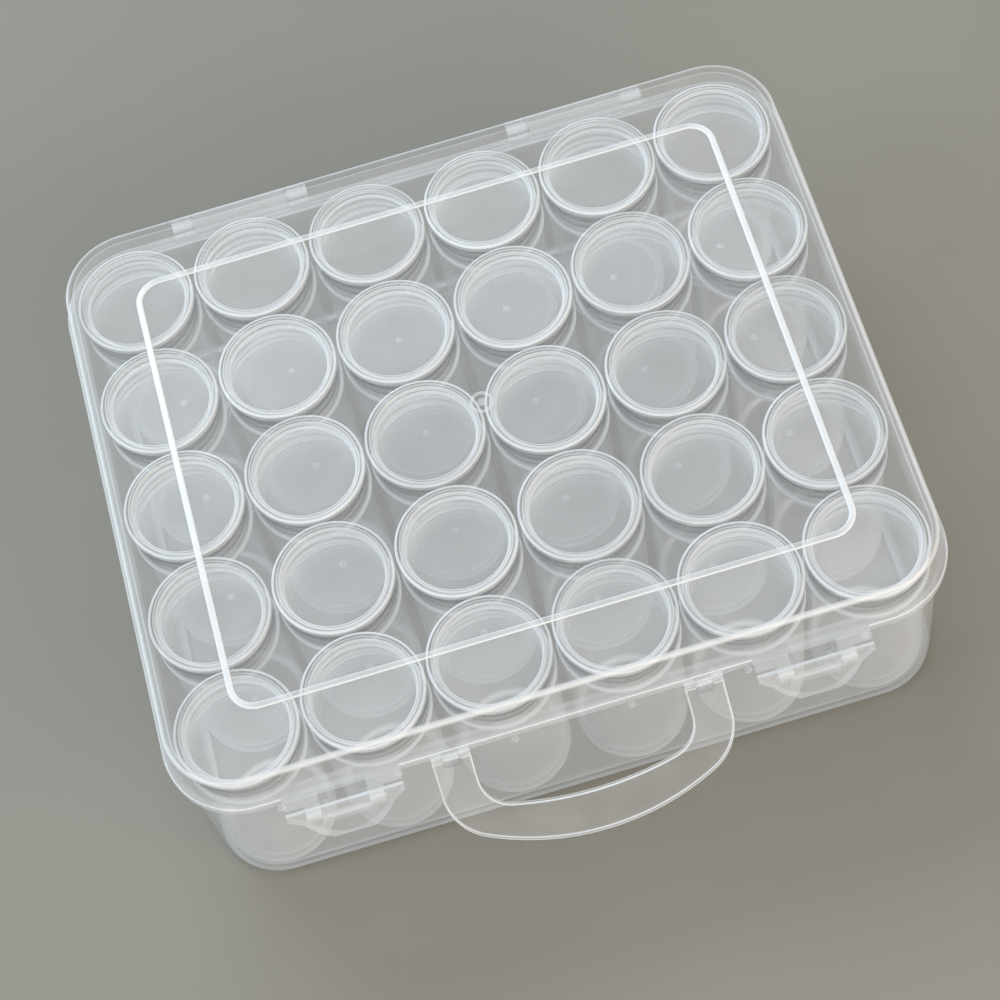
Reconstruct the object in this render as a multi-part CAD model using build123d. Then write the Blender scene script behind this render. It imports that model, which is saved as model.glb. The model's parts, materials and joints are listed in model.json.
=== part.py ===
from build123d import *
import math
import os

# A clear plastic storage box for diamond painting drills: a shallow tray with a hinged lid, two
# thumb latches, a swinging carry handle, and thirty screw-cap jars standing in a grid.
# Millimetres. The origin is the middle of the tray's underside, on the table; +X is to the right,
# -Y is the front, where the latches and the handle are, and +Z is up.

# Jar grid
jar_columns = 6
jar_rows = 5
single_rows = 4
cap_gap = 0.6

# Screw caps
cap_radius = 13.2
cap_height = 10.0
cap_recess = 0.8
cap_disc = 1.0
cap_rim_width = 1.9
cap_wall = 0.7
cap_band_step = 0.25
cap_top_band = 1.5
cap_bottom_band = 1.3
cap_edge_round = 0.4
corner_facets = 2

# Jars
jar_height = 47.4
jar_floor = 1.3
jar_wall = 1.1
jar_inset = 0.7
jar_foot_round = 1.6
jar_inner_round = 1.4
neck_wall = 0.9
neck_room = 0.6
lip_gap = 0.25
shoulder_gap = 0.5
shoulder_drop = 1.0
neck_thread_turns = 2
cap_thread_turns = 1
thread_pitch = 2.5
thread_start = 1.6
thread_root = 1.0
thread_crest = 0.4
thread_height = 0.38
gate_nub_radius = 0.8
gate_nub_height = 0.35

# Tray
floor_thickness = 1.5
shell_wall = 1.2
side_clearance = 0.35
tray_draft = 0.5
tray_foot_round = 2.6
tray_inner_round = 1.4
rim_wall = 0.6
rim_height = 0.8
rim_gap = 0.3

# Flanges where the lid meets the tray
parting_height = 45.8
flange_thickness = 1.3
flange_reach = 3.1
flange_round = 0.4

# Lid
head_room = 4.3
lid_plate = 1.2
lid_edge_round = 1.4
lid_inner_round = 0.8
bead_inset_x = 14.1
bead_inset_y = 13.5
bead_corner = 6.0
bead_width = 1.5
bead_height = 0.6
bead_round = 0.4
gate_ring_radius = 2.6
gate_ring_wall = 0.7
gate_ring_height = 0.4
lid_nub_radius = 0.9

# Back hinges
hinge_centre = 40.0
hinge_barrel_length = 22.0
hinge_barrel_radius = 2.0
hinge_pin_radius = 1.0
hinge_ear_width = 4.6
hinge_side_gap = 0.4
hinge_arm_gap = 0.8

# Latches
latch_centre = 50.0
latch_half_width = 12.4
latch_pin_radius = 1.0
latch_ear_wall = 0.9
latch_ear_width = 3.2
latch_window_half = 5.1
latch_window_depth = 2.7
latch_thickness = 1.2
latch_straight = 4.6
latch_flare_drop = 3.6
latch_flare_out = 2.9
latch_edge_round = 0.3
latch_slot_half = 5.3
latch_slot_height = 1.5
latch_slot_rim = 0.6
latch_slot_proud = 0.5
latch_shelf_gap = 0.35
catch_thickness = 1.1
catch_gap = 0.35
catch_rib = 1.2

# Carry handle
handle_half_width = 31.2
handle_bar_width = 8.3
handle_reach = 24.5
handle_grip_width = 9.1
handle_outer_corner = 12.0
handle_outer_straight = 8.0
handle_inner_corner = 7.0
handle_inner_straight = 6.5
handle_thickness = 1.8
handle_round = 0.5
handle_rest_angle = 40.0
handle_barrel_radius = 1.2
handle_pin_radius = 0.8
handle_clip_width = 3.0
handle_clip_wall = 0.9

# Fits between pieces that turn on each other
pin_clearance = 0.1
free_gap = 0.35

# The grid and the cavity round it
jar_pitch = 2 * cap_radius + cap_gap
grid_half_x = (jar_columns - 1) / 2 * jar_pitch
grid_half_y = (jar_rows - 1) / 2 * jar_pitch
cavity_corner = cap_radius + side_clearance
cavity_half_x = grid_half_x + cavity_corner
cavity_half_y = grid_half_y + cavity_corner

# Cap and jar radii, from the outside in
cap_side_radius = cap_radius - cap_band_step
cap_bore_radius = cap_side_radius - cap_wall
neck_radius = cap_bore_radius - neck_room
neck_bore_radius = neck_radius - neck_wall
jar_radius = cap_radius - jar_inset
jar_bore_radius = jar_radius - jar_wall

# Levels above a jar's underside
cap_under = jar_height + lip_gap
cap_top = cap_under + cap_disc + cap_recess
cap_bottom = cap_top - cap_height
shoulder_level = cap_bottom - shoulder_gap

# Levels above the table
ceiling_level = floor_thickness + cap_top + head_room
lid_top = ceiling_level + lid_plate
flange_bottom = parting_height - flange_thickness
flange_top = parting_height + flange_thickness

# Outlines in plan
flange_half_x = cavity_half_x + flange_reach
flange_half_y = cavity_half_y + flange_reach
lid_draft = rim_wall + rim_gap

# Hinge axes
hinge_axis_y = flange_half_y + hinge_arm_gap + hinge_barrel_radius
hinge_axis_z = parting_height
latch_ear_radius = latch_pin_radius + pin_clearance + latch_ear_wall
latch_axis_y = -(flange_half_y + latch_window_depth + latch_pin_radius)
latch_axis_z = flange_top - latch_ear_radius
latch_slot_drop = latch_ear_radius + free_gap + latch_slot_rim
handle_clip_radius = handle_pin_radius + pin_clearance + handle_clip_wall
handle_axis_y = -(cavity_half_y + shell_wall + free_gap + handle_barrel_radius)
handle_axis_z = flange_bottom - free_gap - handle_barrel_radius
handle_arm_centre = handle_half_width - handle_bar_width / 2


def rounded_block(half_x, half_y, corner, bottom, top, spread=0.0):
    """A block with rounded corners in plan; its walls lean out by spread on the way up."""
    height = top - bottom
    lean = math.degrees(math.atan2(spread, height))
    plan = RectangleRounded(2 * half_x, 2 * half_y, corner)
    return Pos(0, 0, bottom) * extrude(plan, height, taper=-lean)


def lower_edges(solid):
    """The edges round a block's underside."""
    return solid.faces().sort_by(Axis.Z)[0].edges()


def upper_edges(solid):
    """The edges round a block's top."""
    return solid.faces().sort_by(Axis.Z)[-1].edges()


def box_between(low, high):
    """A box from its lowest corner to its highest."""
    size = [b - a for a, b in zip(low, high)]
    middle = [(a + b) / 2 for a, b in zip(low, high)]
    return Pos(*middle) * Box(*size)


def rod(radius, x_from, x_to, y, z):
    """A round bar along X."""
    middle = Pos((x_from + x_to) / 2, y, z)
    return middle * Rot(0, 90, 0) * Cylinder(radius, x_to - x_from)


def turned(points):
    """A solid turned about Z from its half section, given as radius and height."""
    outline = Polyline(*[(radius, 0, level) for radius, level in points], close=True)
    return revolve(make_face(outline), Axis.Z)


def thread_ring(root_radius, crest_radius, level):
    """One turn of a thread, as a closed ring with sloping flanks; it sinks a little into its wall."""
    sunk = root_radius - math.copysign(0.2, crest_radius - root_radius)
    half_root = thread_root / 2
    half_crest = thread_crest / 2
    return turned(
        [
            (sunk, level - half_root),
            (root_radius, level - half_root),
            (crest_radius, level - half_crest),
            (crest_radius, level + half_crest),
            (root_radius, level + half_root),
            (sunk, level + half_root),
        ]
    )


def corner_points(centre_radius, centre_level, size, start, end):
    """Points on an arc in a half section, so that a turned corner is a few short cones."""
    step = (end - start) / corner_facets
    angles = [math.radians(start + step * i) for i in range(corner_facets + 1)]
    return [
        (centre_radius + size * math.cos(angle), centre_level + size * math.sin(angle))
        for angle in angles
    ]


def make_jar():
    """A jar standing on z = 0: a straight body, a shoulder and a narrower neck with its thread."""
    foot = corner_points(jar_radius - jar_foot_round, jar_foot_round, jar_foot_round, -90, 0)
    inner_foot = corner_points(
        jar_bore_radius - jar_inner_round, jar_floor + jar_inner_round, jar_inner_round, 0, -90
    )
    jar = turned(
        [
            (0, 0),
            *foot,
            (jar_radius, shoulder_level - shoulder_drop),
            (neck_radius, shoulder_level),
            (neck_radius, jar_height),
            (neck_bore_radius, jar_height),
            (neck_bore_radius, shoulder_level - jar_wall),
            (jar_bore_radius, shoulder_level - shoulder_drop - jar_wall),
            *inner_foot,
            (gate_nub_radius, jar_floor),
            (gate_nub_radius, jar_floor + gate_nub_height),
            (0, jar_floor + gate_nub_height),
        ]
    )
    for turn in range(neck_thread_turns):
        level = jar_height - thread_start - turn * thread_pitch
        jar += thread_ring(neck_radius, neck_radius + thread_height, level)
    return jar


def make_cap():
    """A screw cap in place on a jar that stands on z = 0, with a dished top and two bands."""
    step_top = cap_top - cap_top_band
    step_bottom = cap_bottom + cap_bottom_band
    round_level = cap_top - cap_edge_round
    inner_edge = cap_radius - cap_rim_width
    cap = turned(
        [
            (0, cap_under),
            (cap_bore_radius, cap_under),
            (cap_bore_radius, cap_bottom),
            (cap_radius, cap_bottom),
            (cap_radius, step_bottom),
            (cap_side_radius, step_bottom + cap_band_step),
            (cap_side_radius, step_top - cap_band_step),
            (cap_radius, step_top),
            *corner_points(cap_radius - cap_edge_round, round_level, cap_edge_round, 0, 90),
            *corner_points(inner_edge + cap_edge_round, round_level, cap_edge_round, 90, 180),
            (inner_edge, cap_top - cap_recess),
            (0, cap_top - cap_recess),
        ]
    )
    for turn in range(cap_thread_turns):
        level = jar_height - thread_start - (turn + 0.5) * thread_pitch
        cap += thread_ring(cap_bore_radius, cap_bore_radius - thread_height, level)
    return cap


def make_hinge_ear(centre, side):
    """One of the tray's ears at the back, with a bore for the lid's hinge pin."""
    inner = hinge_barrel_length / 2 + hinge_side_gap
    edges = sorted([centre + side * inner, centre + side * (inner + hinge_ear_width)])
    ear = rod(hinge_barrel_radius, edges[0], edges[1], hinge_axis_y, hinge_axis_z)
    arm = box_between(
        (edges[0], cavity_half_y + shell_wall, flange_bottom),
        (edges[1], hinge_axis_y, parting_height),
    )
    bore_radius = hinge_pin_radius + pin_clearance
    bore = rod(bore_radius, edges[0] - 1, edges[1] + 1, hinge_axis_y, hinge_axis_z)
    return ear + arm - bore


def make_hinge_barrel(centre):
    """The lid's hinge barrel with a pin at each end, joined to the flange by a flat arm."""
    half = hinge_barrel_length / 2
    pin_half = half + hinge_side_gap + hinge_ear_width
    barrel = rod(hinge_barrel_radius, centre - half, centre + half, hinge_axis_y, hinge_axis_z)
    pin = rod(hinge_pin_radius, centre - pin_half, centre + pin_half, hinge_axis_y, hinge_axis_z)
    arm = box_between(
        (centre - half, cavity_half_y + shell_wall + lid_draft, parting_height),
        (centre + half, hinge_axis_y, flange_top),
    )
    return barrel + pin + arm


def make_catch(centre):
    """The tray's catch under a latch: a shelf on two ribs that ends just short of the tab."""
    slot_middle = latch_axis_z - latch_slot_drop - latch_slot_height / 2
    tip_y = latch_axis_y + latch_thickness / 2 + catch_gap
    half = latch_slot_half - catch_gap
    low = slot_middle - catch_thickness / 2
    wall_y = -(cavity_half_y + shell_wall / 2)
    shelf = box_between((centre - half, tip_y, low), (centre + half, wall_y, low + catch_thickness))
    shelf = chamfer(shelf.faces().sort_by(Axis.Y)[0].edges().filter_by(Axis.X)[0], catch_thickness / 3)
    rib_half = catch_rib / 2
    for x in (centre - half + rib_half, centre + half - rib_half):
        drop = tip_y - wall_y
        rib = Polyline((x, tip_y, low), (x, wall_y, low), (x, wall_y, low + drop), close=True)
        shelf += extrude(make_face(rib), rib_half, both=True, dir=(1, 0, 0))
    return shelf


def make_latch_bracket(centre):
    """The lid's shelf at a latch, with a window in it and an eye each side for the latch's pin."""
    shelf_y = latch_axis_y + latch_pin_radius + latch_shelf_gap
    root_y = -(cavity_half_y + shell_wall + lid_draft)
    bracket = box_between(
        (centre - latch_half_width, shelf_y, parting_height),
        (centre + latch_half_width, root_y, flange_top),
    )
    bracket -= box_between(
        (centre - latch_window_half, shelf_y - 1, parting_height - 1),
        (centre + latch_window_half, -flange_half_y, flange_top + 1),
    )
    for side in (-1, 1):
        inner = centre + side * latch_window_half
        outer = inner + side * latch_ear_width
        low_x, high_x = sorted([inner, outer])
        eye = rod(latch_ear_radius, low_x, high_x, latch_axis_y, latch_axis_z)
        eye += box_between((low_x, latch_axis_y, parting_height), (high_x, root_y, flange_top))
        bore_radius = latch_pin_radius + pin_clearance
        bracket += eye
        bracket -= rod(bore_radius, low_x - 1, high_x + 1, latch_axis_y, latch_axis_z)
    return bracket


def make_latch(centre):
    """A thumb latch: a pin along its top, a straight plate with a rimmed slot, and a flared tab."""
    half_thick = latch_thickness / 2
    bend_z = latch_axis_z - latch_straight
    tip_z = bend_z - latch_flare_drop
    slope = math.hypot(latch_flare_drop, latch_flare_out)
    shift_y = half_thick * latch_flare_drop / slope
    shift_z = half_thick * latch_flare_out / slope
    tip_y = latch_axis_y - latch_flare_out
    mitre = half_thick * math.tan(math.atan2(latch_flare_out, latch_flare_drop) / 2)
    section = Polyline(
        (0, latch_axis_y - half_thick, latch_axis_z),
        (0, latch_axis_y + half_thick, latch_axis_z),
        (0, latch_axis_y + half_thick, bend_z - mitre),
        (0, tip_y + shift_y, tip_z - shift_z),
        (0, tip_y - shift_y, tip_z + shift_z),
        (0, latch_axis_y - half_thick, bend_z + mitre),
        close=True,
    )
    plate = extrude(make_face(section), latch_half_width, both=True, dir=(1, 0, 0))
    corner = latch_half_width
    depth = latch_axis_z - tip_z + shift_z
    outline_radius = (corner**2 + depth**2) / (2 * depth)
    outline = Pos(0, 0, latch_axis_z - depth + outline_radius) * rod_along_y(outline_radius)
    plate = plate & outline
    slot_top = latch_axis_z - latch_slot_drop
    slot_low = slot_top - latch_slot_height
    front_y = latch_axis_y - half_thick
    frame = box_between(
        (-latch_slot_half - latch_slot_rim, front_y - latch_slot_proud, slot_low - latch_slot_rim),
        (latch_slot_half + latch_slot_rim, front_y, slot_top + latch_slot_rim),
    )
    slot = box_between(
        (-latch_slot_half, front_y - 2, slot_low),
        (latch_slot_half, front_y + latch_thickness + 2, slot_top),
    )
    plate = plate + frame - slot
    clear_radius = latch_ear_radius + free_gap
    for side in (-1, 1):
        near = side * (latch_window_half - free_gap)
        far = side * (latch_window_half + latch_ear_width + free_gap)
        low_x, high_x = sorted([near, far])
        plate -= rod(clear_radius, low_x, high_x, latch_axis_y, latch_axis_z)
    pin = rod(latch_pin_radius, -latch_half_width, latch_half_width, latch_axis_y, latch_axis_z)
    return Pos(centre, 0, 0) * (plate + pin)


def rod_along_y(radius):
    """A long round bar along Y through the origin, used to trim a plate to a round outline."""
    return Rot(90, 0, 0) * Cylinder(radius, 4 * flange_half_y)


def bow_outline(half_width, straight, corner, reach):
    """A closed outline shaped like a bow: straight sides, round corners and a gently curved end.

    The end's radius follows from being tangent to both corners and square to the middle line.
    """
    side = half_width - corner
    span = reach - straight
    end_radius = (side**2 + span**2 - corner**2) / (2 * (span - corner))
    centre_y = reach - end_radius
    run = math.hypot(side, straight - centre_y)
    touch = Vector(side, straight - centre_y) * (end_radius / run) + Vector(0, centre_y)
    turn = math.atan2(straight - centre_y, side) / 2
    middle = Vector(side, straight) + Vector(math.cos(turn), math.sin(turn)) * corner
    right = ThreePointArc((half_width, straight), middle, touch)
    end = ThreePointArc(touch, (0, reach), (-touch.X, touch.Y))
    left = ThreePointArc((-touch.X, touch.Y), (-middle.X, middle.Y), (-half_width, straight))
    return make_face(
        Line((half_width, 0), (half_width, straight))
        + right
        + end
        + left
        + Line((-half_width, straight), (-half_width, 0))
        + Line((-half_width, 0), (half_width, 0))
    )


def make_carry_handle():
    """The carry handle: a flat bow on two barrels, tilted to where it rests."""
    outer = bow_outline(handle_half_width, handle_outer_straight, handle_outer_corner, handle_reach)
    inner_half = handle_half_width - handle_bar_width
    inner_reach = handle_reach - handle_grip_width
    inner = bow_outline(inner_half, handle_inner_straight, handle_inner_corner, inner_reach)
    bow = extrude(outer - inner, handle_thickness / 2, both=True)
    bow = fillet(bow.edges().filter_by(GeomType.CIRCLE), handle_round)
    notch_half = handle_clip_width / 2 + free_gap
    clear_radius = handle_clip_radius + free_gap
    for side in (-1, 1):
        middle = side * handle_arm_centre
        barrel_half = handle_bar_width / 2
        bow += rod(handle_barrel_radius, middle - barrel_half, middle + barrel_half, 0, 0)
        bow -= rod(clear_radius, middle - notch_half, middle + notch_half, 0, 0)
        bow += rod(handle_pin_radius, middle - barrel_half, middle + barrel_half, 0, 0)
    turned_out = Rot(0, 0, 180) * bow
    return Pos(0, handle_axis_y, handle_axis_z) * Rot(handle_rest_angle, 0, 0) * turned_out


def make_handle_clip(centre):
    """The tray's clip under the flange that holds one of the handle's pins."""
    half = handle_clip_width / 2
    wall_y = -(cavity_half_y + shell_wall / 2)
    clip = rod(handle_clip_radius, centre - half, centre + half, handle_axis_y, handle_axis_z)
    clip += box_between(
        (centre - half, handle_axis_y - handle_clip_radius, handle_axis_z),
        (centre + half, wall_y, flange_bottom + flange_thickness / 2),
    )
    bore_radius = handle_pin_radius + pin_clearance
    return clip - rod(bore_radius, centre - half - 1, centre + half + 1, handle_axis_y, handle_axis_z)


def make_base_tray():
    """The tray: drafted walls, a flange with a locating rim, hinge ears, catches and clips."""
    floor_half_x = cavity_half_x - tray_draft
    floor_half_y = cavity_half_y - tray_draft
    floor_corner = cavity_corner - tray_draft
    shell = rounded_block(
        floor_half_x + shell_wall,
        floor_half_y + shell_wall,
        floor_corner + shell_wall,
        0,
        parting_height,
        tray_draft,
    )
    shell = fillet(lower_edges(shell), tray_foot_round)
    flange = rounded_block(
        flange_half_x,
        flange_half_y,
        cavity_corner + flange_reach,
        flange_bottom,
        parting_height,
    )
    flange = fillet(lower_edges(flange), flange_round)
    rim = rounded_block(
        cavity_half_x + rim_wall,
        cavity_half_y + rim_wall,
        cavity_corner + rim_wall,
        flange_bottom,
        parting_height + rim_height,
    )
    tray = shell + flange + rim
    for side in (-1, 1):
        for edge in (-1, 1):
            tray += make_hinge_ear(side * hinge_centre, edge)
        tray += make_catch(side * latch_centre)
        tray += make_handle_clip(side * handle_arm_centre)
    hollow = rounded_block(
        floor_half_x, floor_half_y, floor_corner, floor_thickness, parting_height, tray_draft
    )
    hollow = fillet(lower_edges(hollow), tray_inner_round)
    mouth = rounded_block(
        cavity_half_x,
        cavity_half_y,
        cavity_corner,
        parting_height,
        parting_height + rim_height + 1,
    )
    return tray - hollow - mouth


def make_lid():
    """The lid: a drafted cover with a flange, a raised line on top, and its hinge and latch parts."""
    parting_half_x = cavity_half_x + lid_draft
    parting_half_y = cavity_half_y + lid_draft
    cover = rounded_block(
        parting_half_x + shell_wall,
        parting_half_y + shell_wall,
        cavity_corner + lid_draft + shell_wall,
        parting_height,
        lid_top,
        -lid_draft,
    )
    cover = fillet(upper_edges(cover), lid_edge_round)
    flange = rounded_block(
        flange_half_x,
        flange_half_y,
        cavity_corner + flange_reach,
        parting_height,
        flange_top,
    )
    flange = fillet(upper_edges(flange), flange_round)
    lid = cover + flange
    for side in (-1, 1):
        lid += make_hinge_barrel(side * hinge_centre)
        lid += make_latch_bracket(side * latch_centre)
    hollow = rounded_block(
        parting_half_x,
        parting_half_y,
        cavity_corner + lid_draft,
        parting_height,
        ceiling_level,
        -lid_draft,
    )
    lid -= fillet(upper_edges(hollow), lid_inner_round)
    return lid + make_raised_line() + make_lid_gate()


def make_raised_line():
    """The raised line on the lid: a rounded rectangle a little way in from the edge."""
    half_x = cavity_half_x - bead_inset_x
    half_y = cavity_half_y - bead_inset_y
    sunk = lid_top - lid_plate / 2
    outer = rounded_block(half_x, half_y, bead_corner, sunk, lid_top + bead_height)
    inner = rounded_block(
        half_x - bead_width,
        half_y - bead_width,
        bead_corner - bead_width,
        sunk,
        lid_top + bead_height,
    )
    return fillet(upper_edges(outer - inner), bead_round)


def make_lid_gate():
    """The moulding mark at the middle of the lid: a small ring round a nub."""
    ring = Circle(gate_ring_radius) - Circle(gate_ring_radius - gate_ring_wall)
    plan = ring + Circle(lid_nub_radius)
    return Pos(0, 0, lid_top - lid_plate / 2) * extrude(plan, lid_plate / 2 + gate_ring_height)


def grid_place(row, column):
    """Where the jar in this row and column stands; row 1 is at the front, column 1 at the left."""
    x = (column - 1) * jar_pitch - grid_half_x
    y = (row - 1) * jar_pitch - grid_half_y
    return Pos(x, y, floor_thickness)


def make_nodes():
    """Every node by name; the jars of the back row share a node, and so do their caps."""
    jar = make_jar()
    cap = make_cap()
    nodes = {
        "base_tray": make_base_tray(),
        "lid": make_lid(),
        "latch_left": make_latch(-latch_centre),
        "latch_right": make_latch(latch_centre),
        "carry_handle": make_carry_handle(),
    }
    columns = range(1, jar_columns + 1)
    for row in range(1, single_rows + 1):
        for column in columns:
            place = grid_place(row, column)
            nodes[f"jar_row{row}_col{column}"] = place * jar
            nodes[f"cap_row{row}_col{column}"] = place * cap
    back_rows = range(single_rows + 1, jar_rows + 1)
    shared = [grid_place(row, column) for row in back_rows for column in columns]
    if shared:
        nodes["jars_back_row"] = Compound(children=[place * jar for place in shared])
        nodes["caps_back_row"] = Compound(children=[place * cap for place in shared])
    return nodes


os.makedirs("parts", exist_ok=True)
for name, shape in make_nodes().items():
    export_step(shape, f"parts/{name}.step")
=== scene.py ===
# %% [markdown]
# # A clear storage box with thirty screw-top jars
#
# The real object is injection moulded from polypropylene, a plastic that is clear when it is thin and
# milky where it is thick. So almost nothing of it has a colour of its own. The eye reads it by its
# edges: rims, threads and corners look white, and flat walls are a faint veil over the grey table.
#
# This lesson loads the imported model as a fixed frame, mixes the plastic, turns new jars and caps at the
# places that the frame gives, and then sets the box on a table under soft light.

import json
import math

import bpy
import numpy as np
from mathutils import Matrix, Vector


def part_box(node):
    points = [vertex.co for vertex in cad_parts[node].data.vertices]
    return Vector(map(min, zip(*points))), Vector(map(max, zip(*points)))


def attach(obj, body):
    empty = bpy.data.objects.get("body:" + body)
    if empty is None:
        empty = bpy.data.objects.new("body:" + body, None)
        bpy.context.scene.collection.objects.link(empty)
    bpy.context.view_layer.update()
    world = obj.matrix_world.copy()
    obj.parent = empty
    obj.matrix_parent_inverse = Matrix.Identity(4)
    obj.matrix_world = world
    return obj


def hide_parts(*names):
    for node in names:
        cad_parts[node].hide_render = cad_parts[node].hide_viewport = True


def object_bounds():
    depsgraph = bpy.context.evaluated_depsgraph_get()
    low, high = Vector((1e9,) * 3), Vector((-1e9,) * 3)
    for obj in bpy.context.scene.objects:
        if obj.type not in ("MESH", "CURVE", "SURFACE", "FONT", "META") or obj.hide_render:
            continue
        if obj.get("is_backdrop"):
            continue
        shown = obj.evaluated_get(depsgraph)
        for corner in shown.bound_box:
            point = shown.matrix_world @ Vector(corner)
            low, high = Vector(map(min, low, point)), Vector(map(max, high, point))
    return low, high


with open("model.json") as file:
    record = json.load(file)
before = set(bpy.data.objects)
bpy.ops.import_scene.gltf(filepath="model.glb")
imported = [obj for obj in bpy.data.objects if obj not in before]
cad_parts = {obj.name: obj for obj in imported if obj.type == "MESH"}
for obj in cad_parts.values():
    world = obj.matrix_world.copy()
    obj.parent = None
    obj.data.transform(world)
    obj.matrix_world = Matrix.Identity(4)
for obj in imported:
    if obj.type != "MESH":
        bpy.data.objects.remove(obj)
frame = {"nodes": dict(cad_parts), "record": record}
cad_low, cad_high = (np.array(corner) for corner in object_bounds())
nodes = frame["nodes"]
body_of_node = {
    node: body
    for body, members in frame["record"]["behaviour"]["bodies"].items()
    for node in members
}

# %% [markdown]
# Sizes below are millimetres, as on a drawing, and one factor turns them into Blender's metres.

# %% Units
MM = 0.001
cad_size = (cad_high - cad_low) / MM
print("the box measures", [round(side, 1) for side in cad_size], "mm")

# %% [markdown]
# ## The camera
#
# The photograph was taken from above and in front with a long lens, which keeps the far caps almost as
# large as the near ones, and with the camera turned a little, so that the box runs uphill. A camera
# could be turned with three angles. Aiming it at a point and then rolling it is easier to follow.

# %% Aim the camera
CAMERA_PLACE = Vector((-10.4, -271.0, 527.7)) * MM
CAMERA_AIM = Vector((-2.2, -20.8, 50.95)) * MM
CAMERA_ROLL = math.radians(-14.76)
FOCAL_WIDTHS = 2.548


def aim_matrix(place, aim, roll=0.0):
    """The camera or lamp matrix that looks from place to aim, rolled about its line of sight."""
    turn = (aim - place).to_track_quat("-Z", "Y").to_matrix().to_4x4()
    return Matrix.Translation(place) @ turn @ Matrix.Rotation(roll, 4, "Z")


lens = bpy.data.cameras.new("camera")
lens.sensor_width = 36.0
lens.lens = FOCAL_WIDTHS * lens.sensor_width
lens.clip_start = 0.01
camera = bpy.data.objects.new("camera", lens)
camera.matrix_world = aim_matrix(CAMERA_PLACE, CAMERA_AIM, CAMERA_ROLL)
bpy.context.scene.collection.objects.link(camera)
bpy.context.scene.camera = camera
print("lens", round(lens.lens, 1), "mm at", round((CAMERA_PLACE - CAMERA_AIM).length / MM), "mm")

# %% [markdown]
# ## Colours and nodes
#
# A colour picked on a screen is an sRGB value, and a shader works with linear light. One
# function turns the first into the second, and one more adds a node with its settings and links.


# %% Two small helpers
def linear(colour):
    """Linear RGBA from sRGB hex: each channel is divided by 12.92 when dark, else raised to 2.4."""
    srgb = np.array([int(colour[at : at + 2], 16) for at in (1, 3, 5)]) / 255
    bright = ((srgb + 0.055) / 1.055) ** 2.4
    return (*np.where(srgb <= 0.04045, srgb / 12.92, bright), 1.0)


def add(tree, kind, values=None, links=None, **settings):
    """Adds a node: settings are its properties, values its plain inputs, links its linked ones."""
    node = tree.nodes.new("ShaderNode" + kind)
    for name, setting in settings.items():
        setattr(node, name, setting)
    for name, value in (values or {}).items():
        node.inputs[name].default_value = value
    for name, socket in (links or {}).items():
        tree.links.new(socket, node.inputs[name])
    return node


print("mid grey #808080 is", round(float(linear("#808080")[0]), 3), "in linear light")

# %% [markdown]
# ## Clear polypropylene
#
# Glass shaders bend every ray, and a box of thirty jars has about forty walls behind each other, which
# is slow and, after a few walls, black. Thin moulded plastic hardly bends light. So each wall here is a
# veil: a smooth white plastic whose alpha says how much of the light stops there. Alpha is small where
# the wall is seen face on, it grows where the wall is seen along its surface, since the path through
# the plastic gets longer, and it is large where the plastic is thick or sharply bent, which is called
# milk below. Milk on thick plastic is its haze. Milk on bends and thread crests is partly haze and
# partly a painted highlight: white laid where the real plastic throws bright light toward the eye. A
# wall has two faces, and its back face stays clear, or each wall would count twice.
#
# Moulded plastic is glossy but never even: it cools in soft streaks, drawn about 8 mm wide, that vary
# both its haze and its roughness. The thickest plastic still lets a tenth of the light through, so milk
# is multiplied by 0.9. Between the turns of the caps' threads the wall bends light away from the eye
# and shows dark lines, so milk below 0 paints such a line as painted shade: a grey base colour in
# place of the light that is bent away.

# %% What polypropylene looks like
PLASTIC_WHITE = "#F4FAFF"
# The grey below is painted shade: the colour of the dark lines where the plastic bends light away.
PAINTED_SHADE_GREY = "#70787B"
POLYPROPYLENE_IOR = 1.49
STREAKS_PER_METRE = 120
STREAK_LOW, STREAK_HIGH = 0.3, 0.7
THINNEST_HAZE, THICKEST_HAZE = 0.8, 1.2
GLOSSIEST, DULLEST = 0.8, 1.3
MIDDLE_HAZE, RIM_HAZE = 0.85, 1.4
GRAZING_POWER = 3.0
MILK_GAIN = 0.9
# From milk of -0.1 down, the base colour is the full painted shade grey.
PAINTED_SHADE_BELOW = -0.1
print("a streak is about", round(1 / STREAKS_PER_METRE / MM), "mm wide")


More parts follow.
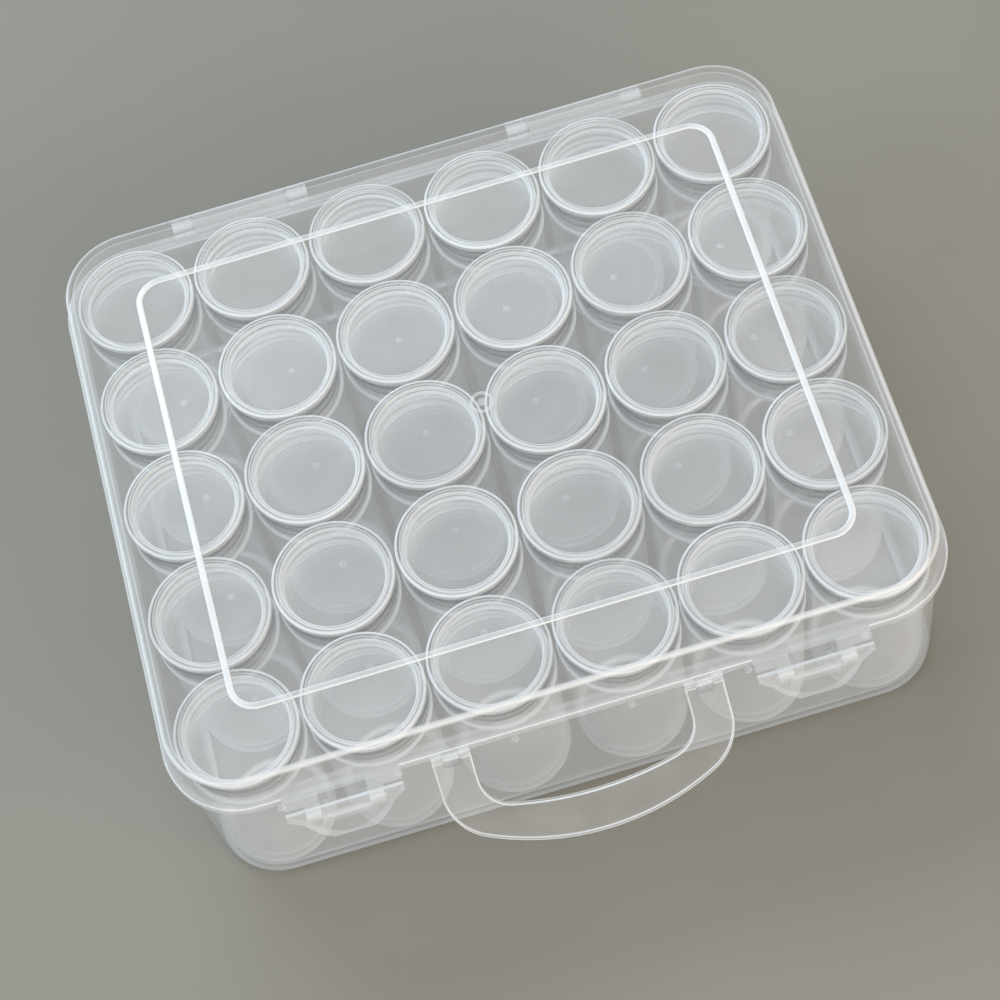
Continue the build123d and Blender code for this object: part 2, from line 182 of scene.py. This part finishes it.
# %% The veil
def plastic_veil(name, haze, edge, roughness, cloudier_at=None):
    """A veil of white plastic. Returns the material and a function that sets where it is milky.

    alpha = front * (haze * streaks + edge * grazing^3) + milk, where front is 1 on faces that look
    out of the plastic and grazing is Layer Weight's Facing, 0 when seen face on. The haze may grow
    from the middle of the box, where the mould was filled, to a distance in millimetres.
    """
    material = bpy.data.materials.new(name)
    material.use_nodes = True
    tree = material.node_tree
    shader = tree.nodes["Principled BSDF"]
    shader.inputs["IOR"].default_value = POLYPROPYLENE_IOR
    shader.inputs["Base Color"].default_value = linear(PLASTIC_WHITE)
    place = add(tree, "TexCoord").outputs["Object"]
    streaks = add(tree, "TexNoise", {"Scale": STREAKS_PER_METRE, "Detail": 3.0}, {"Vector": place})
    reach = {"From Min": STREAK_LOW, "From Max": STREAK_HIGH}
    streak_haze = add(
        tree, "MapRange", {**reach, "To Min": THINNEST_HAZE * haze, "To Max": THICKEST_HAZE * haze},
        {"Value": streaks.outputs["Fac"]},
    )
    gloss = add(
        tree, "MapRange", {**reach, "To Min": GLOSSIEST * roughness, "To Max": DULLEST * roughness},
        {"Value": streaks.outputs["Fac"]},
    )
    tree.links.new(gloss.outputs["Result"], shader.inputs["Roughness"])
    haze_here = streak_haze.outputs["Result"]
    if cloudier_at:
        far = add(tree, "VectorMath", {}, {0: place}, operation="LENGTH").outputs["Value"]
        outward = add(
            tree, "MapRange",
            {"From Min": 0.0, "From Max": cloudier_at * MM, "To Min": MIDDLE_HAZE, "To Max": RIM_HAZE},
            {"Value": far}, interpolation_type="SMOOTHSTEP",
        )
        haze_here = add(
            tree, "Math", {}, {0: haze_here, 1: outward.outputs["Result"]}, operation="MULTIPLY"
        ).outputs[0]
    facing = add(tree, "LayerWeight", {"Blend": 0.5}).outputs["Facing"]
    grazing = add(tree, "Math", {1: GRAZING_POWER}, {0: facing}, operation="POWER")
    thick = add(
        tree, "Math", {1: edge}, {0: grazing.outputs[0], 2: haze_here}, operation="MULTIPLY_ADD"
    )
    back = add(tree, "NewGeometry").outputs["Backfacing"]
    front = add(tree, "Math", {0: 1.0}, {1: back}, operation="SUBTRACT")
    wall = add(tree, "Math", {}, {0: thick.outputs[0], 1: front.outputs[0]}, operation="MULTIPLY")

    def set_milk(milk, dark_lines=False):
        """Links milk, 0 to 1, into the veil. With painted shade lines it may go down to -1, and is
        painted grey there.
        """
        if dark_lines:
            # Painted shade: milk below 0 turns the base colour from white to grey, for light bent away
            # between thread turns.
            pale = add(tree, "MapRange", {"From Min": PAINTED_SHADE_BELOW, "From Max": 0.0}, {"Value": milk})
            tone = add(tree, "ValToRGB", {}, {"Fac": pale.outputs["Result"]})
            tone.color_ramp.elements[0].color = linear(PAINTED_SHADE_GREY)
            tone.color_ramp.elements[1].color = linear(PLASTIC_WHITE)
            tree.links.new(tone.outputs["Color"], shader.inputs["Base Color"])
            milk = add(tree, "Math", {}, {0: milk}, operation="ABSOLUTE").outputs[0]
        # Alpha from milk: haze of thick plastic, and partly painted highlight on bends and thread crests.
        alpha = add(
            tree, "Math", {1: MILK_GAIN}, {0: milk, 2: wall.outputs[0]},
            operation="MULTIPLY_ADD", use_clamp=True,
        )
        tree.links.new(alpha.outputs[0], shader.inputs["Alpha"])

    return material, set_milk


print("face on, a veil stops", round(THINNEST_HAZE, 1), "to", round(THICKEST_HAZE, 1), "times its haze")

# %% [markdown]
# The jars and caps carry their milkiness with them as an attribute, because their profile knows where
# it has corners and threads. On corners and thread crests this milk is partly a painted highlight, and
# on the caps it also holds lines of painted shade. Caps are a little hazier than jars: their mould is
# more matt.

# %% Plastic of the jars and caps
cap_plastic, set_cap_milk = plastic_veil(
    "moulded polypropylene, caps", haze=0.105, edge=0.5, roughness=0.2
)
cap_attribute = add(cap_plastic.node_tree, "Attribute", attribute_name="milk")
set_cap_milk(cap_attribute.outputs["Fac"], dark_lines=True)
jar_plastic, set_jar_milk = plastic_veil(
    "moulded polypropylene, jars", haze=0.074, edge=0.65, roughness=0.14
)
jar_attribute = add(jar_plastic.node_tree, "Attribute", attribute_name="milk")
set_jar_milk(jar_attribute.outputs["Fac"])
print("the caps' plastic has", len(cap_plastic.node_tree.nodes), "nodes")

# %% [markdown]
# The tray, lid, latches and handle keep their CAD meshes, which have no such attribute. Their milk
# could be painted by hand, but it can also be worked out from the surface itself, which then holds on
# every side. On a rounded edge the normal leaves both the level and the upright direction, and the
# product z^2 (1 - z^2) of the normal's height z is largest halfway round such an edge and 0 on a flat
# top or an upright wall. This milk on rounded edges is partly haze and partly a painted highlight. The
# latches have no rounded edges, so there the whole rim of the plate is milky, as it is on the real
# ones, and that milk too is partly a painted highlight.


# %% Milk, partly painted highlight, where a moulding bends
def plate_normal(tree, tilt):
    """z^2 and 1 - z^2 of the object's own normal, turned back by the tilt at which its plate hangs."""
    normal = add(tree, "TexCoord").outputs["Normal"]
    upright = add(tree, "VectorRotate", {"Angle": -tilt}, {"Vector": normal}, rotation_type="X_AXIS")
    height = add(tree, "SeparateXYZ", {}, {"Vector": upright.outputs["Vector"]}).outputs["Z"]
    squared = add(tree, "Math", {}, {0: height, 1: height}, operation="MULTIPLY").outputs[0]
    rest = add(tree, "Math", {0: 1.0}, {1: squared}, operation="SUBTRACT").outputs[0]
    return squared, rest


def edge_milk_and_highlight(tree, strength, tilt=0.0):
    """Milk and painted highlight: strength times z^2 (1 - z^2), held to 1, most mid-way round an edge."""
    squared, rest = plate_normal(tree, tilt)
    bend = add(tree, "Math", {}, {0: squared, 1: rest}, operation="MULTIPLY").outputs[0]
    milk = add(tree, "Math", {1: strength}, {0: bend}, operation="MULTIPLY", use_clamp=True)
    return milk.outputs[0]


def rim_milk_and_highlight(tree, strength, tilt):
    """Milk and painted highlight: strength times (1 - z^2)^2, 0 on a plate's faces, most on its square
    rim.
    """
    rest = plate_normal(tree, tilt)[1]
    steep = add(tree, "Math", {}, {0: rest, 1: rest}, operation="MULTIPLY").outputs[0]
    return add(tree, "Math", {1: strength}, {0: steep}, operation="MULTIPLY").outputs[0]


print("halfway round an edge z^2 is 0.5, and the bend", 0.5 * (1 - 0.5))

# %% [markdown]
# Two parts of the case are thicker than its walls and look milky on every side of them: the flanges
# that meet where the box opens, and the raised line on the lid. Both lie between two levels, so their
# milk is a band by height. A ramp by the distance from the middle of the box then makes the raised line
# brighter along the short sides, a painted highlight where light from the left and right catches it,
# and keeps the hinge knuckles and latch eyes clearer than the edges.


# %% Milk by place
def place_along(tree, axis):
    """The object's own coordinate along X, Y or Z."""
    place = add(tree, "TexCoord").outputs["Object"]
    return add(tree, "SeparateXYZ", {}, {"Vector": place}).outputs[axis]


def ramp(tree, value, start, stop, first, last):
    """first up to start, last from stop on, both in millimetres, and a straight run between them."""
    limits = {"From Min": start * MM, "From Max": stop * MM, "To Min": first, "To Max": last}
    return add(tree, "MapRange", limits, {"Value": value}).outputs["Result"]


def band_milk(tree, bottom, top, strength, soft):
    """strength between two levels in millimetres, 0 beyond, with ramps as wide as soft."""
    level = place_along(tree, "Z")
    rise = ramp(tree, level, bottom - soft, bottom, 0.0, strength)
    fall = ramp(tree, level, top, top + soft, 1.0, 0.0)
    return add(tree, "Math", {}, {0: rise, 1: fall}, operation="MULTIPLY").outputs[0]


def off_middle(tree, milk, axis, start, stop, near, far):
    """milk times near at the middle plane across the axis, and times far from stop millimetres on."""
    distance = add(tree, "Math", {}, {0: place_along(tree, axis)}, operation="ABSOLUTE").outputs[0]
    share = ramp(tree, distance, start, stop, near, far)
    return add(tree, "Math", {}, {0: milk, 1: share}, operation="MULTIPLY").outputs[0]


def added(tree, first, second):
    """The sum of two milks, held to 1."""
    return add(tree, "Math", {}, {0: first, 1: second}, operation="ADD", use_clamp=True).outputs[0]


FLANGE_BOTTOM, FLANGE_TOP = 44.5, 47.1
RAISED_LINE_BOTTOM, RAISED_LINE_TOP = 56.6, 58.0
# Where the raised line's painted highlight is faint and where it is full, in millimetres from the middle.
LINE_HIGHLIGHT_FAINT_TO, LINE_HIGHLIGHT_FULL_FROM = 61.0, 66.0
CASE_ENDS, FITTINGS_START = 70.8, 71.3
print("the band on the flanges is", round(FLANGE_TOP - FLANGE_BOTTOM, 1), "mm high")

# %% Plastic of the case
CASE_CLOUDIER_AT = 95.0
case_plastic, set_case_milk = plastic_veil(
    "moulded polypropylene, case", haze=0.064, edge=0.42, roughness=0.16, cloudier_at=CASE_CLOUDIER_AT
)
case_tree = case_plastic.node_tree
flange = band_milk(case_tree, FLANGE_BOTTOM, FLANGE_TOP, strength=0.1, soft=0.3)
raised_line = band_milk(case_tree, RAISED_LINE_BOTTOM, RAISED_LINE_TOP, strength=0.75, soft=0.1)
# Painted highlight: the raised line is brighter along the short sides, where light from the sides catches
# it.
raised_line = off_middle(
    case_tree, raised_line, "X", LINE_HIGHLIGHT_FAINT_TO, LINE_HIGHLIGHT_FULL_FROM, near=0.4, far=1.0
)
# Milk on the case's rounded edges, partly painted highlight, fainter on the fittings.
edges = off_middle(
    case_tree, edge_milk_and_highlight(case_tree, 3.0), "Y", CASE_ENDS, FITTINGS_START, near=1.0, far=0.3
)
set_case_milk(added(case_tree, edges, added(case_tree, flange, raised_line)))
for node in ("base_tray", "lid"):
    nodes[node].material_slots[0].material = case_plastic
print("the case wears", nodes["lid"].material_slots[0].material.name)

# %% Plastic of the latches and the handle
LATCH_TILT = math.radians(51.0)
HANDLE_TILT = math.radians(40.0)
latch_plastic, set_latch_milk = plastic_veil(
    "moulded polypropylene, latches", haze=0.13, edge=0.45, roughness=0.2
)
# The latch rims' milk is partly a painted highlight.
set_latch_milk(rim_milk_and_highlight(latch_plastic.node_tree, 0.7, LATCH_TILT))
handle_plastic, set_handle_milk = plastic_veil(
    "moulded polypropylene, handle", haze=0.13, edge=0.45, roughness=0.2
)
# The handle's edge milk is partly a painted highlight.
set_handle_milk(edge_milk_and_highlight(handle_plastic.node_tree, 4.0, HANDLE_TILT))
for node, plastic in (
    ("latch_left", latch_plastic), ("latch_right", latch_plastic), ("carry_handle", handle_plastic)
):
    nodes[node].material_slots[0].material = plastic
print("the latches wear", nodes["latch_left"].material_slots[0].material.name)

# %% [markdown]
# ## Turned plastic
#
# A jar and a cap are bodies of revolution, so each is a profile, a list of radius and height, carried
# round a circle. Two things make them look moulded instead of drawn: corners that are rounded, and a
# thread that climbs like a real screw. A corner is rounded with a short Bezier curve between the two
# sides. The thread is a bump on the radius that rises by one pitch for each turn.


# %% Round the corners of a profile
CORNER_STEPS = 5


def rounded(corners, steps=CORNER_STEPS):
    """A profile from rows of radius, height, corner size, milk of the corner, milk of the next wall.

    Each corner P becomes a quadratic Bezier curve: (1-t)^2 A + 2t(1-t) P + t^2 B, where A and B lie
    one corner size from P, along its two sides. Its milk goes from the wall before to the wall after,
    with the corner's own milk in the middle. A corner of size 0 is one point.
    """
    rows = np.array(corners, float)
    here, size, own, after_milk = rows[:, :2], rows[:, 2:3], rows[:, 3:4], rows[:, 4:5]
    before = np.vstack([here[:1], here[:-1]]) - here
    after = np.vstack([here[1:], here[-1:]]) - here
    start = here + before * size / np.maximum(np.linalg.norm(before, axis=1, keepdims=True), 1e-9)
    end = here + after * size / np.maximum(np.linalg.norm(after, axis=1, keepdims=True), 1e-9)
    t = np.linspace(0, 1, steps)[None, :, None]
    curve = (1 - t) ** 2 * start[:, None] + 2 * t * (1 - t) * here[:, None] + t**2 * end[:, None]
    before_milk = np.vstack([after_milk[:1], after_milk[:-1]])
    share = np.where(size > 0, 1 - np.abs(2 * t[..., 0] - 1), 1.0)
    walls = (1 - t[..., 0]) * before_milk + t[..., 0] * after_milk
    milk = share * own + (1 - share) * walls
    points = np.column_stack([curve.reshape(-1, 2), milk.ravel()])
    moved = np.linalg.norm(np.diff(points[:, :2], axis=0), axis=1) > 1e-6
    return points[np.r_[True, moved]]


print("a rounded corner is", CORNER_STEPS, "points")


# %% Carry a profile round
SEGMENTS = 72
THREAD_PITCH = 2.5
THREAD_RUN_OUT = 0.8
SAME_RADIUS = 0.02


def screw_bump(height, angle, bottom, top):
    """A thread's height, 0 to 1: a rounded ridge about a helix, faded out at both of its ends.

    The ridge's place is height / pitch - angle / full turn, taken to the nearest whole number, and the
    ridge is the fourth power of the cosine of that place, narrow on top and wide in the valley.
    """
    place = (height - bottom) / THREAD_PITCH - angle / math.tau
    ridge = np.cos(math.pi * (place - np.round(place))) ** 4
    fade_in = np.clip((height - bottom) / THREAD_RUN_OUT, 0, 1)
    fade_out = np.clip((top - height) / THREAD_RUN_OUT, 0, 1)
    return ridge * (fade_in * fade_out)


def turn_profile(profile, wall, depth, bottom, top, milk_and_highlight_on_crest, painted_shade_in_valley):
    """Places and milk on a grid with a row for each profile point and a column for each segment.

    x = r cos(angle), y = r sin(angle), z = height. On the wall at the given radius, r grows by depth
    times the screw bump between bottom and top. There milk = crest * bump^0.7 - valley * (1 - bump)^2:
    high on the thread, partly haze of the ridge and partly a painted highlight, and below 0 between its
    turns, a painted shade line for the light that the wall bends away.
    """
    angle = np.arange(SEGMENTS) * math.tau / SEGMENTS
    radius, height, milk = (np.repeat(profile[:, at : at + 1], SEGMENTS, 1) for at in range(3))
    on_wall = np.abs(radius - wall) < SAME_RADIUS
    bump = on_wall * screw_bump(height, angle[None], bottom, top)
    radius = radius + depth * bump
    thread = on_wall * (height > bottom + THREAD_RUN_OUT / 2) * (height < top - THREAD_RUN_OUT / 2)
    # Crest milk is partly a painted highlight; valley milk below 0 is painted shade.
    lines = milk_and_highlight_on_crest * bump**0.7 - painted_shade_in_valley * (1 - bump) ** 2
    milk = np.where(thread, lines, milk)
    return np.stack([radius * np.cos(angle), radius * np.sin(angle), height], -1), milk


def turned_faces(rows):
    """Corner lists of a turned grid whose first and last rows are one point each on the axis.

    Point 0 is the first pole, then come the rows in order, and the last point is the other pole.
    """
    column = np.arange(SEGMENTS)
    following = (column + 1) % SEGMENTS
    ring = 1 + np.arange(rows - 3)[:, None] * SEGMENTS
    quads = np.stack(
        [ring + column, ring + following, ring + SEGMENTS + following, ring + SEGMENTS + column], -1
    ).reshape(-1, 4)
    last_ring = 1 + (rows - 3) * SEGMENTS
    low_fan = np.stack([np.zeros_like(column), 1 + following, 1 + column], -1)
    pole = np.full_like(column, last_ring + SEGMENTS)
    high_fan = np.stack([last_ring + column, last_ring + following, pole], -1)
    return quads, np.vstack([low_fan, high_fan])


out_of_round = 13 * (1 - math.cos(math.pi / SEGMENTS))
print("a circle of", SEGMENTS, "sides and 13 mm radius is", round(out_of_round, 3), "mm out of round")

# %% [markdown]
# ## The screw cap
#
# The cap is a flat disc sunk a little into a thick rim, over a thin skirt with a band at its top and
# its bottom. The rim is solid, so it is the palest ring of all. Its two edges are bright lines, partly
# haze and partly painted highlight, and between them runs a darker line of painted shade, where the
# skirt's inner wall begins below. The skirt's outside fades up to a second painted shade line under
# its upper band. The profile runs from under the disc down the bore, round the lower edge, up the
# outside, over the rim and back to the middle.

# %% The cap's profile
CAP_RADIUS, CAP_SIDE, CAP_BORE = 13.2, 12.95, 12.25
CAP_HEIGHT, CAP_DISC_TOP, CAP_DISC_UNDER = 10.0, 9.2, 8.2
RIM_INNER = 11.3
# The cap's thread: bright crests, partly painted highlight, and dark valleys of painted shade.
CAP_THREAD = dict(
    wall=CAP_BORE, depth=-0.28, bottom=0.7, top=7.3, milk_and_highlight_on_crest=1.0, painted_shade_in_valley=0.2
)
bore_levels = np.linspace(7.6, 0.5, 27)
cap_corners = [
    (0.0, CAP_DISC_UNDER, 0.0, 0.04, 0.04),
    (RIM_INNER - 0.2, CAP_DISC_UNDER, 0.0, 0.04, 0.15),
    (CAP_BORE, CAP_DISC_UNDER, 0.3, 0.5, 0.15),
    *[(CAP_BORE, level, 0.0, 0.03, 0.03) for level in bore_levels],
    (CAP_BORE, 0.0, 0.15, 1.0, 0.8),
    (CAP_RADIUS, 0.0, 0.3, 1.0, 0.3),
    (CAP_RADIUS, 1.1, 0.12, 0.7, 0.4),
    (CAP_SIDE, 1.3, 0.12, 0.6, 0.02),
    # Milk below 0 here paints a line of painted shade under the skirt's upper band.
    (CAP_SIDE, 8.2, 0.0, -0.3, -0.3),
    (CAP_RADIUS, 8.5, 0.15, 1.0, 0.1),
    (CAP_RADIUS, CAP_HEIGHT, 0.5, 1.0, 0.5),
    (12.6, CAP_HEIGHT, 0.0, 0.25, 0.25),
    # Milk below 0 here paints a line of painted shade on the rim, between its two bright edges.
    (12.35, CAP_HEIGHT, 0.0, -0.2, -0.2),
    (12.1, CAP_HEIGHT, 0.0, 0.45, 0.45),
    (11.75, CAP_HEIGHT, 0.0, 0.1, 0.1),
    (RIM_INNER, CAP_HEIGHT, 0.25, 1.0, 0.7),
    (RIM_INNER, CAP_DISC_TOP, 0.25, 0.9, 0.06),
    (RIM_INNER - 0.7, CAP_DISC_TOP, 0.0, 0.06, 0.06),
    (0.0, CAP_DISC_TOP, 0.0, 0.04, 0.04),
]
cap_profile = rounded(cap_corners)
cap_places, cap_milk_highlight_and_shade = turn_profile(cap_profile, **CAP_THREAD)
cap_faces = turned_faces(len(cap_profile))
print("a cap has", len(cap_profile), "rings and", len(cap_faces[0]) + len(cap_faces[1]), "faces")

# %% [markdown]
# ## The jar
#
# The jar is a straight cup with a rounded foot and a narrower threaded neck. Its wall is thin and
# nearly invisible; its foot, its shoulder and its lip show as pale rings, partly haze and partly painted
# highlight. A small nub in the middle of the floor is where the plastic entered the mould, and its milk,
# partly haze of the thick nub and partly a painted highlight, shows through the cap as a white dot. The
# cap's thread hides most of the neck's, so the lines on the neck, partly painted highlight, are weaker
# and have no painted shade valleys.

# %% The jar's profile
JAR_RADIUS, JAR_BORE = 12.5, 11.4
NECK_RADIUS, NECK_BORE = 11.65, 10.75
JAR_HEIGHT, SHOULDER = 47.4, 38.95
# The neck's thread crests are partly painted highlight, with no painted shade between them.
JAR_THREAD = dict(
    wall=NECK_RADIUS, depth=0.25, bottom=39.6, top=46.4, milk_and_highlight_on_crest=0.3, painted_shade_in_valley=0.0
)
neck_levels = np.linspace(39.3, 46.8, 28)
jar_corners = [
    (0.0, 0.0, 0.0, 0.04, 0.04),
    (9.5, 0.0, 0.0, 0.05, 0.1),
    (JAR_RADIUS, 0.0, 1.6, 0.7, 0.1),
    (JAR_RADIUS, 3.0, 0.0, 0.04, 0.04),
    (JAR_RADIUS, 36.5, 0.0, 0.04, 0.1),
    (JAR_RADIUS, 37.95, 0.4, 0.5, 0.5),
    (NECK_RADIUS, SHOULDER, 0.2, 0.5, 0.2),
    *[(NECK_RADIUS, level, 0.0, 0.03, 0.03) for level in neck_levels],
    (NECK_RADIUS, JAR_HEIGHT, 0.25, 0.8, 0.6),
    (NECK_BORE, JAR_HEIGHT, 0.25, 0.8, 0.1),
    (NECK_BORE, 38.0, 0.3, 0.3, 0.3),
    (JAR_BORE, 37.2, 0.3, 0.3, 0.0),
    (JAR_BORE, 3.2, 0.0, 0.0, 0.1),
    (JAR_BORE, 1.3, 1.4, 0.5, 0.05),
    (9.0, 1.3, 0.0, 0.04, 0.04),
    (1.1, 1.3, 0.0, 0.04, 0.2),
    # The nub's milk is partly haze and partly a painted highlight.
    (0.8, 1.3, 0.1, 0.9, 0.5),
    (0.8, 1.65, 0.15, 0.9, 0.5),
    (0.0, 1.65, 0.0, 0.5, 0.5),
]
jar_profile = rounded(jar_corners)
jar_places, jar_milk_and_highlight = turn_profile(jar_profile, **JAR_THREAD)
jar_faces = turned_faces(len(jar_profile))
print("a jar has", len(jar_profile), "rings and", len(jar_faces[0]) + len(jar_faces[1]), "faces")
thread_gap = CAP_BORE + CAP_THREAD["depth"] - NECK_RADIUS - JAR_THREAD["depth"]
print("the threads clear each other by", round(thread_gap, 2), "mm at any turn")

# %% [markdown]
# ## Put the turned pieces in place
#
# Thirty jars could be instances of one mesh. Here each gets its own mesh, with its place in the mesh,
# because each is a body of its own that moves by itself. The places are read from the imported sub-parts,
# so a jar stands exactly where the tray holds it. No two mouldings are quite alike, so each piece is
# turned by its own angle and its milkiness swings a little round its circle.


# %% Make a mesh from turned grids
CLEAREST_AND_MILKIEST = 0.85, 1.1
SWING_ROUND_THE_CIRCLE = 0.05, 0.2


def new_piece(name, grids, faces, material):
    """One smooth mesh object from one or more turned grids of places and milk, in millimetres."""
    quads, triangles = faces
    places, milks, corners, counts = [], [], [], []
    for grid, milk in grids:
        first = sum(len(part) for part in places)
        places.append(np.vstack([grid[0, :1], grid[1:-1].reshape(-1, 3), grid[-1, :1]]))
        milks.append(np.r_[milk[0, 0], milk[1:-1].ravel(), milk[-1, 0]])
        corners += [quads.ravel() + first, triangles.ravel() + first]
        counts += [np.full(len(quads), 4), np.full(len(triangles), 3)]
    places, milks, corners, counts = (np.concatenate(part) for part in (places, milks, corners, counts))
    mesh = bpy.data.meshes.new(name)
    mesh.vertices.add(len(places))
    mesh.vertices.foreach_set("co", (places * MM).astype(np.float32).ravel())
    mesh.loops.add(len(corners))
    mesh.loops.foreach_set("vertex_index", corners.astype(np.int32))
    mesh.polygons.add(len(counts))
    mesh.polygons.foreach_set("loop_start", np.r_[0, np.cumsum(counts)[:-1]].astype(np.int32))
    mesh.attributes.new("milk", "FLOAT", "POINT").data.foreach_set("value", milks.astype(np.float32))
    mesh.update(calc_edges=True)
    mesh.validate()
    mesh.shade_smooth()
    mesh.materials.append(material)
    piece = bpy.data.objects.new(name, mesh)
    bpy.context.scene.collection.objects.link(piece)
    return piece


def placed(places, milk, middle, bottom, moulding):
    """A turned grid at its place, turned and clouded in its own way by the moulding's number.

    Its milk is multiplied by strength * (1 + swing * sin(angle + phase)).
    """
    chance = np.random.default_rng(moulding)
    turn = chance.uniform(0, math.tau)
    strength = chance.uniform(*CLEAREST_AND_MILKIEST)
    swing = chance.uniform(*SWING_ROUND_THE_CIRCLE)
    phase = chance.uniform(0, math.tau)
    cosine, sine = math.cos(turn), math.sin(turn)
    spin = np.array([[cosine, sine, 0], [-sine, cosine, 0], [0, 0, 1]])
    cloud = strength * (1 + swing * np.sin(np.arange(SEGMENTS) * math.tau / SEGMENTS + phase))
    return places @ spin + np.array([*middle, bottom]), np.clip(milk * cloud, -1, 1)


def node_place(node):
    """The middle of a sub-part in plan and its lowest level, in millimetres."""
    low, high = (np.array(corner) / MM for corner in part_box(node))
    return (low[:2] + high[:2]) / 2, low[2]


print("the first jar stands at", node_place("jar_row1_col1")[0].round(1), "mm")


# %% Twenty-four jars with their caps
kinds = {
    "jar": ("clear_jar", jar_places, jar_milk_and_highlight, jar_faces, jar_plastic),
    "cap": ("screw_cap", cap_places, cap_milk_highlight_and_shade, cap_faces, cap_plastic),
}
turned_pieces = []
for node in sorted(nodes):
    kind = node.split("_")[0]
    if kind not in kinds:
        continue
    title, places, milk, faces, material = kinds[kind]
    middle, bottom = node_place(node)
    grid = placed(places, milk, middle, bottom, moulding=len(turned_pieces))
    piece = new_piece(node.replace(kind, title, 1), [grid], faces, material)
    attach(piece, body_of_node[node])
    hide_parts(node)
    turned_pieces.append(piece)
print(len(turned_pieces), "turned pieces stand in their places")

# %% The back row
# The six jars of the back row are one sub-part of the frame, and their caps another. Their columns are
# those of the first row, and their row is the middle of the sub-part.
column_places = [node_place(f"jar_row1_col{column}")[0][0] for column in range(1, 7)]
for node, kind in (("jars_back_row", "jar"), ("caps_back_row", "cap")):
    title, places, milk, faces, material = kinds[kind]
    middle, bottom = node_place(node)
    grids = [
        placed(places, milk, (across, middle[1]), bottom, 100 + 10 * len(turned_pieces) + number)
        for number, across in enumerate(column_places)
    ]
    piece = new_piece(f"back_row_{title}s", grids, faces, material)
    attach(piece, body_of_node[node])
    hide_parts(node)
    turned_pieces.append(piece)
triangles = sum(len(piece.data.loops) - 2 * len(piece.data.polygons) for piece in turned_pieces)
print("the jars and caps have", triangles, "triangles in all")

# %% [markdown]
# ## Table, light and air
#
# The table is a plain matt sheet of warm grey. The light is a cloudy day in a room: one large cool
# window behind, a second at the left, a pale wall low in front, which lights the upright sides, and a
# warm one at the right, over an even pale sky. Their strengths add up to a little more than 1 on the
# table, so that a colour looks about as it is written.


# %% The table
TABLE_GREY, TABLE_GREY_PALE = "#8D8C85", "#93928B"
TABLE_ROUGHNESS = 0.85
TABLE_CLOUD = 60.0
TABLE_REACH = 3.0


def table_material():
    """Matt painted board: a warm grey with a faint cloudiness, drawn 60 mm wide."""
    material = bpy.data.materials.new("matt painted board")
    material.use_nodes = True
    tree = material.node_tree
    shader = tree.nodes["Principled BSDF"]
    shader.inputs["Roughness"].default_value = TABLE_ROUGHNESS
    place = add(tree, "TexCoord").outputs["Object"]
    clouds = add(tree, "TexNoise", {"Scale": 1 / (TABLE_CLOUD * MM), "Detail": 2.0}, {"Vector": place})
    tone = add(tree, "ValToRGB", {}, {"Fac": clouds.outputs["Fac"]})
    tone.color_ramp.elements[0].color = linear(TABLE_GREY)
    tone.color_ramp.elements[1].color = linear(TABLE_GREY_PALE)
    tree.links.new(tone.outputs["Color"], shader.inputs["Base Color"])
    return material


table_mesh = bpy.data.meshes.new("table")
reach = TABLE_REACH * np.array([[-1, -1, 0], [1, -1, 0], [1, 1, 0], [-1, 1, 0]])
table_mesh.from_pydata(reach.tolist(), [], [(0, 1, 2, 3)])
table_mesh.materials.append(table_material())
table = bpy.data.objects.new("table", table_mesh)
bpy.context.scene.collection.objects.link(table)
table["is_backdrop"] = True
print("the table is", round(2 * TABLE_REACH), "m wide")


# %% Lamps
LAMP_AIM = Vector((0, 0, 0.03))
SKY_STRENGTH = 0.33


def window(name, place, size, watts, colour):
    """A rectangular area lamp at a place in metres that looks at the middle of the box.

    Its size is width and height in metres, and its colour is sRGB hex.
    """
    lamp = bpy.data.lights.new(name, "AREA")
    lamp.shape = "RECTANGLE"
    lamp.size, lamp.size_y = size
    lamp.energy = watts
    lamp.color = linear(colour)[:3]
    holder = bpy.data.objects.new(name, lamp)
    holder.matrix_world = aim_matrix(Vector(place), LAMP_AIM)
    bpy.context.scene.collection.objects.link(holder)
    return holder


lamps = [
    window("window behind", (-0.25, 0.85, 1.0), (0.9, 0.6), 9.6, "#EEF8FF"),
    window("pale wall in front", (0.25, -1.1, 0.65), (0.9, 0.6), 5.4, "#FFFAF2"),
    window("window left", (-1.1, -0.1, 0.9), (0.8, 0.8), 6.4, "#EEF7FF"),
    window("warm wall right", (0.85, -0.85, 0.7), (0.7, 0.7), 6.2, "#FFE2C4"),
]
sky = bpy.data.worlds.new("even pale sky")
sky.use_nodes = True
sky.node_tree.nodes["Background"].inputs["Color"].default_value = linear("#FBFBFA")
sky.node_tree.nodes["Background"].inputs["Strength"].default_value = SKY_STRENGTH
bpy.context.scene.world = sky
print("the lamps give", round(sum(lamp.data.energy for lamp in lamps), 1), "watts in all")

# %% [markdown]
# A ray that goes down through the box meets about forty veils. Blender stops a see-through ray after
# a few by default and paints the rest black, so the limit is raised. The jars and caps still cast
# shadows, but the light that bounces between surfaces passes them by: real plastic lights up the inside
# of the box, where sixty more veils in every bounce would darken it and take much longer.

# %% Let light through
scene = bpy.context.scene
scene.cycles.transparent_max_bounces = 96
scene.cycles.max_bounces = 6
scene.cycles.diffuse_bounces = 2
scene.cycles.glossy_bounces = 2
for piece in turned_pieces:
    piece.visible_diffuse = False
scene.view_settings.view_transform = "Standard"
print("see-through rays may cross", scene.cycles.transparent_max_bounces, "veils")

# %% Measure and finish
new_low, new_high = (np.array(corner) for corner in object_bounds())
grown = np.abs([new_low - cad_low, new_high - cad_high]).max() / MM
print("the visual box differs from the CAD box by", round(float(grown), 2), "mm")
